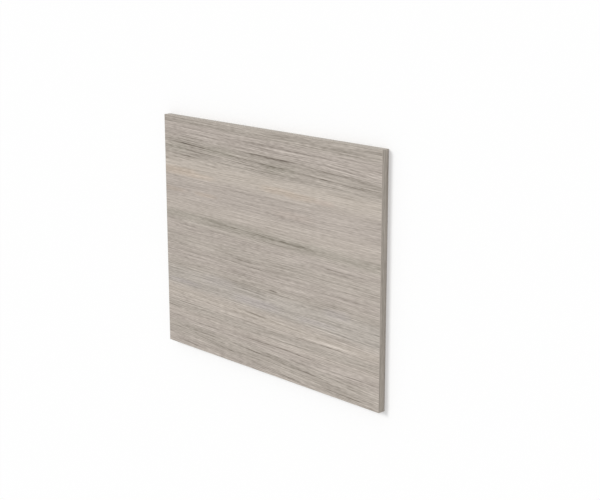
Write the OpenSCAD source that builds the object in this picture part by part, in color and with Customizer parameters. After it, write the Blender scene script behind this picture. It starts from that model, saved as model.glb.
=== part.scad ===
// Bath end panel: one wood-effect faced board with its edges banded and eased all round.
// It lies flat, finished face up. X runs along the grain from the wall edge to the front
// corner edge, Y runs from the floor edge to the rim edge, and Z is the thickness.
// The origin is the centre of the back face.

/* [Board] */
// Width of the panel along the grain, from the wall edge to the front corner edge
panel_w = 700; // [400:5:900]
// Height of the panel, from the floor edge to the edge under the bath rim
panel_h = 560; // [400:5:650]
// Thickness of the faced board
board_t = 18; // [12:1:25]

/* [Edges] */
// Radius of the arrises, where the edge banding is trimmed level with both faces
arris_r = 1; // [0.5:0.25:3]
// Radius of the four corners, where two bands meet
corner_r = 1; // [0.5:0.25:8]

/* [Hidden] */
$fn = 48;

// A rectangle about the origin with all four corners rounded
module eased_rectangle(size_x, size_y, radius) {
    square([size_x - 2 * radius, size_y], center = true);
    square([size_x, size_y - 2 * radius], center = true);
    for (sx = [-1, 1], sy = [-1, 1])
        translate([sx * (size_x / 2 - radius), sy * (size_y / 2 - radius)])
            circle(radius);
}

// The board's section across the grain, run along X
module long_section() {
    rotate([90, 0, 90])
        linear_extrude(panel_w, center = true)
            eased_rectangle(panel_h, board_t, arris_r);
}

// The board's section along the grain, run along Y
module cross_section() {
    rotate([90, 0, 0])
        linear_extrude(panel_h, center = true)
            eased_rectangle(panel_w, board_t, arris_r);
}

// The outline of the finished face, run through the thickness
module face_outline() {
    linear_extrude(board_t, center = true)
        eased_rectangle(panel_w, panel_h, corner_r);
}

module end_panel() {
    color([0.70, 0.665, 0.628])
        translate([0, 0, board_t / 2])
            intersection() {
                long_section();
                cross_section();
                face_outline();
            }
}

end_panel();
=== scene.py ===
"""A wood-effect bath end panel, lying face up on a pale studio floor.

The CAD solid stays as it is. This script gives it its printed and pressed wood-effect finish,
and sets the floor, the light and the camera. Lengths are in metres unless a name says otherwise.
"""

from math import atan2, hypot, radians

import bpy
from mathutils import Matrix, Vector


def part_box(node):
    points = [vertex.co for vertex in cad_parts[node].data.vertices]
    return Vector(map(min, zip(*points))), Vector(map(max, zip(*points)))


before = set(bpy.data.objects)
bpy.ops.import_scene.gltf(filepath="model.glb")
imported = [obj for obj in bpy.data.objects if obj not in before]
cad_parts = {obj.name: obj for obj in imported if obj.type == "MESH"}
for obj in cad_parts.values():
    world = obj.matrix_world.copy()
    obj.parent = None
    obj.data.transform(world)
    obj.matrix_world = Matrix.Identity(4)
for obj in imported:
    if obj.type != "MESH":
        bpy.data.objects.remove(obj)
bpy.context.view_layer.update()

MM = 0.001

# The board's own sizes, from the frame
board_low, board_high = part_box("end_panel")
HALF_WIDTH = (board_high.x - board_low.x) / 2
HALF_HEIGHT = (board_high.y - board_low.y) / 2
THICKNESS = board_high.z - board_low.z
ARRIS = 1.0 * MM

# Camera at the photograph's viewing angle, with the rim edge (+Y) up in the picture
CAMERA_PLACE = Vector((2.067, 0.717, 1.913))
CAMERA_AIM = Vector((0.1123, 0.0310, 0.018))
PICTURE_UP = Vector((0, 1, 0))
LENS_MM = 77.66
SENSOR_MM = 36.0

# Light
KEY_FROM = Vector((-0.45, 0.40, 0.80))
KEY_STRENGTH = 1.45
KEY_SPREAD = radians(24)
SKY_STRENGTH = 0.60
BACKDROP_WHITE = 1.0
FLOOR_SIZE = 60.0
FLOOR_GAP = 0.1 * MM
FLOOR_ALBEDO = 0.80
FLOOR_LIFT = 0.22



def srgb(red, green, blue):
    """Linear RGB from the 0 to 255 values of a colour picker."""
    return tuple(((v / 255 + 0.055) / 1.055) ** 2.4 for v in (red, green, blue))


# Colours of the print. INK is what a streak adds where it is light and takes where it is dark, and it also carries
# the painted light that makes the board a shade lighter towards +X.
PALE = srgb(188, 178, 167)
LIGHT = srgb(184, 174, 164)
MID = srgb(179, 169, 160)
DUSK = srgb(175, 166, 156)
DARK = srgb(170, 161, 151)
OLIVE = srgb(170, 162, 151)
LILAC = srgb(179, 171, 162)
PEACH = srgb(196, 178, 160)
BLUSH = srgb(192, 174, 162)
HAZE = srgb(178, 170, 166)
MOSS = srgb(168, 162, 149)
INK = srgb(175, 169, 163)
TAPE_BODY = srgb(177, 168, 157)

# The figure of the print, from the floor edge up: height in millimetres, the colour there,
# how far the grain falls towards the front corner in metres a metre, and how strong its lines are
FIGURE = [
    (0, MID, 0.045, 1.0),
    (24, DUSK, 0.040, 1.0),
    (48, DUSK, 0.025, 1.0),
    (60, MID, 0.015, 0.95),
    (82, LIGHT, 0.010, 0.95),
    (92, DUSK, 0.010, 0.95),
    (104, DUSK, 0.010, 0.95),
    (112, LIGHT, 0.015, 0.95),
    (128, PALE, 0.030, 0.95),
    (138, LIGHT, 0.025, 0.9),
    (152, LILAC, 0.015, 0.9),
    (182, LILAC, 0.010, 0.9),
    (198, DUSK, 0.010, 0.9),
    (225, MID, 0.010, 0.85),
    (262, DUSK, 0.010, 0.85),
    (294, MID, 0.015, 0.85),
    (306, DUSK, 0.025, 0.85),
    (316, OLIVE, 0.025, 0.85),
    (324, OLIVE, 0.020, 0.8),
    (340, LIGHT, 0.015, 0.75),
    (352, LIGHT, 0.010, 0.75),
    (374, MID, 0.010, 0.75),
    (406, MID, 0.005, 0.75),
    (420, LIGHT, 0.005, 0.75),
    (434, PALE, 0.005, 0.75),
    (448, PALE, 0.010, 0.75),
    (464, DUSK, 0.030, 0.95),
    (482, DARK, 0.045, 1.0),
    (498, DARK, 0.045, 1.0),
    (512, MID, 0.035, 1.0),
    (534, MID, 0.025, 0.95),
    (544, DARK, 0.020, 0.95),
]

# The strongest growth lines, in millimetres from the panel's centre: x and y at each end,
# half the width, and how dark. A minus is a light line.
GROWTH_LINES = [
    (-350, 268, -60, 262, 2.0, 0.6),
    (-360, 247, -130, 240, 1.6, 0.7),
    (-120, 250, 60, 244, 1.9, 0.9),
    (10, 245, 350, 236, 1.7, 0.6),
    (-110, 225, 130, 219, 2.5, 1.3),
    (-360, 222, -150, 212, 2.0, 1.1),
    (100, 219, 360, 203, 2.0, 1.0),
    (-180, 212, 110, 200, 2.4, 1.2),
    (90, 201, 360, 186, 2.2, 0.8),
    (-360, 209, -130, 197, 2.0, 0.8),
    (-130, 199, 90, 188, 2.0, 0.6),
    (-360, 194, -200, 186, 2.2, 0.7),
    (-90, 44, 190, 34, 4.5, 0.7),
    (-220, 48, -70, 42, 5.0, 0.5),
    (0, 97, 180, 89, 3.2, 0.5),
    (-120, -26, -20, -31, 2.0, 0.7),
    (8, -80, 44, -80, 2.4, 1.3),
    (-110, -93, 10, -96, 1.8, 0.7),
    (-85, -145, 70, -154, 1.9, 0.8),
    (160, -146, 300, -146, 1.6, 0.7),
    (-240, -166, -60, -167, 1.6, -0.6),
    (90, -165, 300, -167, 1.8, -0.9),
    (40, -170, 290, -171, 1.6, 0.7),
    (-350, -209, -120, -215, 1.9, 0.9),
    (-140, -211, 110, -209, 1.9, 1.0),
    (90, -210, 220, -217, 1.8, 0.8),
    (-140, -233, 80, -240, 2.1, 0.9),
    (70, -240, 200, -249, 2.0, 0.8),
    (-280, -240, -80, -258, 1.9, 0.8),
    (-350, -266, -180, -274, 2.1, 0.9),
    (-80, -261, 140, -274, 2.1, 1.0),
    (160, -266, 320, -271, 1.9, 0.9),
]

# Faint coloured patches: x, y, half the length and half the height in millimetres, colour, strength
PATCHES = [
    (-300, 151, 85, 13, PEACH, 0.48),
    (-215, 147, 60, 8, PEACH, 0.36),
    (40, 151, 68, 10, PEACH, 0.36),
    (115, 147, 60, 10, PEACH, 0.36),
    (185, 145, 38, 8, BLUSH, 0.36),
    (-320, 105, 60, 8, PEACH, 0.24),
    (-205, 105, 51, 7, PEACH, 0.3),
    (90, 102, 76, 11, BLUSH, 0.18),
    (-30, -119, 102, 13, HAZE, 0.72),
    (-290, -119, 76, 7, HAZE, 0.56),
    (160, -124, 76, 8, HAZE, 0.48),
    (225, -92, 51, 14, HAZE, 0.48),
    (-160, -95, 76, 16, HAZE, 0.32),
    (-305, 208, 51, 14, MOSS, 0.4),
    (-150, 212, 76, 11, MOSS, 0.4),
    (50, 198, 68, 14, MOSS, 0.32),
]


class Tree:
    """Writes a node tree in short calls. Each call adds a node and gives back its output socket."""

    def __init__(self, tree):
        self.tree = tree

    def add(self, kind, output=0, inputs=(), **settings):
        node = self.tree.nodes.new(kind)
        for name, value in settings.items():
            setattr(node, name, value)
        for key, value in dict(inputs).items():
            if isinstance(value, bpy.types.NodeSocket):
                self.tree.links.new(value, node.inputs[key])
            else:
                node.inputs[key].default_value = value
        return node.outputs[output]

    def math(self, operation, *values, clamp=False):
        return self.add("ShaderNodeMath", inputs=enumerate(values), operation=operation, use_clamp=clamp)

    def vector(self, operation, a, b):
        return self.add("ShaderNodeVectorMath", inputs={0: a, 1: b}, operation=operation)

    def scaled(self, a, factor):
        return self.add("ShaderNodeVectorMath", inputs={0: a, "Scale": factor}, operation="SCALE")

    def combine(self, x, y, z):
        return self.add("ShaderNodeCombineXYZ", inputs={0: x, 1: y, 2: z})

    def ease(self, value, low, high, to_low=0.0, to_high=1.0):
        """A smooth step of value from low to high."""
        inputs = {"Value": value, "From Min": low, "From Max": high, "To Min": to_low, "To Max": to_high}
        return self.add("ShaderNodeMapRange", inputs=inputs, interpolation_type="SMOOTHSTEP")

    def pick(self, factor, a, b):
        """A number that is a where factor is 0 and b where it is 1."""
        return self.add("ShaderNodeMix", inputs={0: factor, 2: a, 3: b}, data_type="FLOAT")

    def blend(self, factor, a, b):
        """A colour that is a where factor is 0 and b where it is 1."""
        a, b = [c if isinstance(c, bpy.types.NodeSocket) else (*c, 1.0) for c in (a, b)]
        return self.add("ShaderNodeMix", output=2, inputs={0: factor, 6: a, 7: b}, data_type="RGBA")

    def noise(self, vector, detail=2.0, roughness=0.5):
        inputs = {"Vector": vector, "Scale": 1.0, "Detail": detail, "Roughness": roughness}
        return self.add("ShaderNodeTexNoise", inputs=inputs)


def look_along(place, forward, up):
    """A matrix that stands at place and looks along forward, as cameras and lamps do."""
    forward = forward.normalized()
    right = forward.cross(up).normalized()
    above = right.cross(forward)
    turn = Matrix((right, above, -forward)).transposed()
    return Matrix.Translation(place) @ turn.to_4x4()


def grain_noise(tree, grain, along_mm, across_mm, detail=2.0, roughness=0.5, layer=0.0):
    """Noise from -0.5 to 0.5 in streaks about along_mm long and across_mm apart."""
    shifted = tree.vector("ADD", grain, (0, 0, layer))
    stretched = tree.vector("MULTIPLY", shifted, (1 / (along_mm * MM), 1 / (across_mm * MM), 1.0))
    return tree.math("SUBTRACT", tree.noise(stretched, detail, roughness), 0.5)


def thin_lines(tree, grain, along_mm, across_mm, width, layer):
    """1 along thin lines, where a stretched noise passes through its middle, and 0 between them."""
    level = tree.math("ABSOLUTE", grain_noise(tree, grain, along_mm, across_mm, detail=1.0, layer=layer))
    line = tree.ease(level, 0.0, width, 1.0, 0.0)
    there = tree.ease(grain_noise(tree, grain, along_mm / 3, across_mm, detail=0.0, layer=layer + 1), -0.12, 0.12)
    return tree.math("MULTIPLY", line, there)


def long_spot(tree, plane, x0, y0, x1, y1, half_width):
    """1 in the middle of a long spot from x0, y0 to x1, y1 in millimetres, easing to 0 at its rim."""
    inputs = {
        "Vector": plane,
        "Location": ((x0 + x1) / 2 * MM, (y0 + y1) / 2 * MM, 0),
        "Rotation": (0, 0, atan2(y1 - y0, x1 - x0)),
        "Scale": (hypot(x1 - x0, y1 - y0) / 2 * MM, half_width * MM, 1),
    }
    local = tree.add("ShaderNodeMapping", inputs=inputs, vector_type="TEXTURE")
    blunt = tree.vector("MULTIPLY", local, local)
    reach = tree.add("ShaderNodeVectorMath", output="Value", inputs={0: blunt}, operation="LENGTH")
    return tree.ease(reach, 0.0, 1.0, 1.0, 0.0)


def wood_effect_board():
    """The printed wood-effect facing, with its edge tape and the tape's plain eased arris."""
    material = bpy.data.materials.new("wood_effect_facing")
    material.use_nodes = True
    tree = Tree(material.node_tree)
    shader = material.node_tree.nodes["Principled BSDF"]

    place = tree.add("ShaderNodeTexCoord", output="Object")
    axes = material.node_tree.nodes.new("ShaderNodeSeparateXYZ")
    material.node_tree.links.new(place, axes.inputs[0])
    x, y, z = axes.outputs

    # How far in from the edges, and how deep below the nearer face
    inset_x = tree.math("SUBTRACT", HALF_WIDTH, tree.math("ABSOLUTE", x))
    inset_y = tree.math("SUBTRACT", HALF_HEIGHT, tree.math("ABSOLUTE", y))
    inset = tree.math("MINIMUM", inset_x, inset_y)
    from_middle = tree.math("ABSOLUTE", tree.math("SUBTRACT", z, THICKNESS / 2))
    depth = tree.math("SUBTRACT", THICKNESS / 2, from_middle)
    on_edge = tree.math("GREATER_THAN", depth, ARRIS / 2)
    on_short_edge = tree.math("MULTIPLY", on_edge, tree.math("LESS_THAN", inset_x, inset_y))
    on_back = tree.math("MULTIPLY", tree.math("SUBTRACT", 1.0, on_edge), tree.math("LESS_THAN", z, THICKNESS / 2))
    on_face = tree.math("SUBTRACT", 1.0, on_edge)

    # The grain's own coordinates: the back is another part of the print, and the tape's grain runs along it
    flip = tree.pick(on_back, 1.0, -1.0)
    along = tree.pick(on_short_edge, tree.math("MULTIPLY", x, flip), y)
    across = tree.pick(on_edge, tree.math("MULTIPLY", y, flip), z)
    layer = tree.math("ADD", tree.math("MULTIPLY", on_back, 7.0), tree.math("MULTIPLY", on_edge, 13.0))
    straight = tree.combine(along, across, layer)

    # The figure by height: one ramp for its colour, one for the fall of the grain and the strength of its lines
    fall, _ = figure_ramps(tree, tree.math("ADD", across, HALF_HEIGHT))
    wander = tree.math("MULTIPLY", grain_noise(tree, straight, 260, 60), 7 * MM)
    bent = tree.math("ADD", tree.math("MULTIPLY_ADD", along, fall, across), wander)
    grain = tree.combine(along, bent, layer)
    ragged = tree.math("MULTIPLY", grain_noise(tree, grain, 200, 7, layer=3.0), 12 * MM)
    level = tree.math("ADD", tree.math("ADD", bent, ragged), HALF_HEIGHT)
    colour = tree.blend(on_edge, figure_colour(tree, level), TAPE_BODY)
    _, busy = figure_ramps(tree, level)
    busy = tree.pick(on_edge, busy, 0.8)

    # Faint patches of colour
    drift = tree.math("MULTIPLY", grain_noise(tree, straight, 90, 12, layer=21.0), 6 * MM)
    plane = tree.combine(along, tree.math("ADD", across, drift), 0.0)
    for x0, y0, half_length, half_height, tint, strength in PATCHES:
        spot = long_spot(tree, plane, x0 - half_length, y0, x0 + half_length, y0, half_height)
        spot = tree.math("MULTIPLY", spot, tree.math("MULTIPLY", on_face, strength))
        colour = tree.blend(spot, colour, tint)

    # Growth lines
    sway = tree.math("MULTIPLY", grain_noise(tree, straight, 160, 40, layer=31.0), 6 * MM)
    plane = tree.combine(along, tree.math("ADD", across, sway), 0.0)
    lines = 0.0
    for x0, y0, x1, y1, half_width, dark in GROWTH_LINES:
        spot = long_spot(tree, plane, x0, y0, x1, y1, half_width)
        lines = tree.math("MULTIPLY_ADD", spot, dark, lines)
    broken = tree.math("ADD", tree.math("MULTIPLY", grain_noise(tree, grain, 50, 3.0, layer=35.0), 3.0), 1.0)
    lines = tree.math("MULTIPLY", tree.math("MULTIPLY", lines, broken), on_face)

    # Broad streaks, long thin lines, short ones, light ones and fine fibres, with painted light that brightens the
    # board towards +X
    streak = grain_noise(tree, grain, 500, 16, detail=1.0, roughness=0.7, layer=5.0)
    ray = grain_noise(tree, grain, 600, 4.0, detail=1.0, roughness=0.6, layer=7.0)
    fibre = grain_noise(tree, grain, 150, 2.0, detail=1.0, roughness=0.6, layer=9.0)
    tick = grain_noise(tree, grain, 16, 2.0, detail=0.0, layer=12.0)
    long_lines = thin_lines(tree, grain, 900, 6.5, 0.040, layer=15.0)
    short_lines = thin_lines(tree, grain, 300, 5, 0.040, layer=18.0)
    light_lines = thin_lines(tree, grain, 450, 6, 0.040, layer=25.0)

    fine = tree.math("MULTIPLY", ray, 0.30)
    fine = tree.math("MULTIPLY_ADD", fibre, 1.30, fine)
    fine = tree.math("MULTIPLY_ADD", tick, 0.60, fine)
    fine = tree.math("MULTIPLY_ADD", long_lines, -0.22, fine)
    fine = tree.math("MULTIPLY_ADD", short_lines, -0.20, fine)
    fine = tree.math("MULTIPLY_ADD", light_lines, 0.16, fine)
    print_tone_and_painted_light = tree.math("MULTIPLY_ADD", streak, 0.07, 0.028)
    # Painted light: the colour gets a shade lighter towards +X, the front corner, standing in for how the light
    # falls there; it is not part of the print
    print_tone_and_painted_light = tree.math("MULTIPLY_ADD", x, 0.08, print_tone_and_painted_light)
    print_tone_and_painted_light = tree.math("MULTIPLY_ADD", fine, busy, print_tone_and_painted_light)
    print_tone_and_painted_light = tree.math("MULTIPLY_ADD", lines, -0.36, print_tone_and_painted_light)
    colour = tree.vector("ADD", colour, tree.scaled(INK, print_tone_and_painted_light))

    # The eased arris shows the tape's plain body, and a fine line shows where tape and facing meet
    printed = tree.math("MAXIMUM", tree.math("GREATER_THAN", inset, ARRIS), tree.math("GREATER_THAN", depth, ARRIS))
    body = tree.scaled(TAPE_BODY, tree.math("MULTIPLY_ADD", fibre, 0.06, 1.0))
    colour = tree.blend(printed, body, colour)

    tree.tree.links.new(colour, shader.inputs["Base Color"])
    rough = tree.math("MULTIPLY_ADD", fibre, 0.16, 0.52)
    tree.tree.links.new(rough, shader.inputs["Roughness"])
    relief = tree.math("ADD", streak, fibre)
    bump = tree.add("ShaderNodeBump", inputs={"Strength": 0.35, "Distance": 0.06 * MM, "Height": relief})
    tree.tree.links.new(bump, shader.inputs["Normal"])
    shader.inputs["IOR"].default_value = 1.5
    return material


def figure_colour(tree, height):
    """The colour of the figure at a height above the floor edge."""
    ramp = tree.add("ShaderNodeValToRGB", inputs={0: tree.math("DIVIDE", height, 2 * HALF_HEIGHT)})
    set_stops(ramp.node, [(position, colour) for position, colour, _, _ in FIGURE])
    return ramp


def figure_ramps(tree, height):
    """The fall of the grain and the strength of its lines at a height above the floor edge."""
    ramp = tree.add("ShaderNodeValToRGB", inputs={0: tree.math("DIVIDE", height, 2 * HALF_HEIGHT)})
    set_stops(ramp.node, [(position, (fall, busy, 0)) for position, _, fall, busy in FIGURE])
    ramp.node.color_ramp.interpolation = "EASE"
    split = tree.add("ShaderNodeSeparateColor", inputs={0: ramp})
    return split.node.outputs[0], split.node.outputs[1]


def set_stops(node, stops):
    """Fills a colour ramp with colours at heights in millimetres above the floor edge."""
    elements = node.color_ramp.elements
    elements.remove(elements[-1])
    for index, (position, colour) in enumerate(stops):
        stop = elements[0] if index == 0 else elements.new(position * MM / (2 * HALF_HEIGHT))
        stop.color = (*colour, 1.0)


def studio_floor():
    """A large pale floor that looks nearly white to the camera and keeps the board's shadow."""
    bpy.ops.mesh.primitive_plane_add(size=FLOOR_SIZE, location=(0, 0, -FLOOR_GAP))
    floor = bpy.context.object
    floor.name = "studio_floor"
    material = bpy.data.materials.new("studio_floor")
    material.use_nodes = True
    nodes, links = material.node_tree.nodes, material.node_tree.links
    nodes.clear()
    tree = Tree(material.node_tree)
    paint = tree.add("ShaderNodeBsdfDiffuse", inputs={"Color": (*[FLOOR_ALBEDO] * 3, 1.0)})
    ray = nodes.new("ShaderNodeLightPath").outputs
    seen = tree.math("MAXIMUM", ray["Is Camera Ray"], ray["Is Glossy Ray"])
    seen = tree.math("MAXIMUM", seen, ray["Is Transmission Ray"])
    lift = tree.add("ShaderNodeEmission", inputs={"Strength": tree.math("MULTIPLY", seen, FLOOR_LIFT)})
    both = tree.add("ShaderNodeAddShader", inputs={0: paint, 1: lift})
    links.new(both, nodes.new("ShaderNodeOutputMaterial").inputs["Surface"])
    floor.data.materials.append(material)


def soft_light():
    """One broad key lamp from the picture's upper left, and a pale sky that fills the rest."""
    lamp = bpy.data.lights.new("key", "SUN")
    lamp.energy = KEY_STRENGTH
    lamp.angle = KEY_SPREAD
    key = bpy.data.objects.new("key", lamp)
    bpy.context.scene.collection.objects.link(key)
    key.matrix_world = look_along(KEY_FROM * 3, -KEY_FROM, PICTURE_UP)

    world = bpy.data.worlds.new("sky")
    bpy.context.scene.world = world
    world.use_nodes = True
    nodes = world.node_tree.nodes
    tree = Tree(world.node_tree)
    seen = nodes.new("ShaderNodeLightPath").outputs["Is Camera Ray"]
    strength = tree.pick(seen, SKY_STRENGTH, BACKDROP_WHITE)
    world.node_tree.links.new(strength, nodes["Background"].inputs["Strength"])
    nodes["Background"].inputs["Color"].default_value = (1.0, 1.0, 1.0, 1.0)


def camera():
    """The camera, which looks down on the board."""
    data = bpy.data.cameras.new("camera")
    data.lens = LENS_MM
    data.sensor_width = SENSOR_MM
    eye = bpy.data.objects.new("camera", data)
    bpy.context.scene.collection.objects.link(eye)
    eye.matrix_world = look_along(CAMERA_PLACE, CAMERA_AIM - CAMERA_PLACE, PICTURE_UP)
    bpy.context.scene.camera = eye


camera()
soft_light()
studio_floor()
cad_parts["end_panel"].material_slots[0].material = wood_effect_board()
bpy.context.scene.view_settings.view_transform = "Standard"
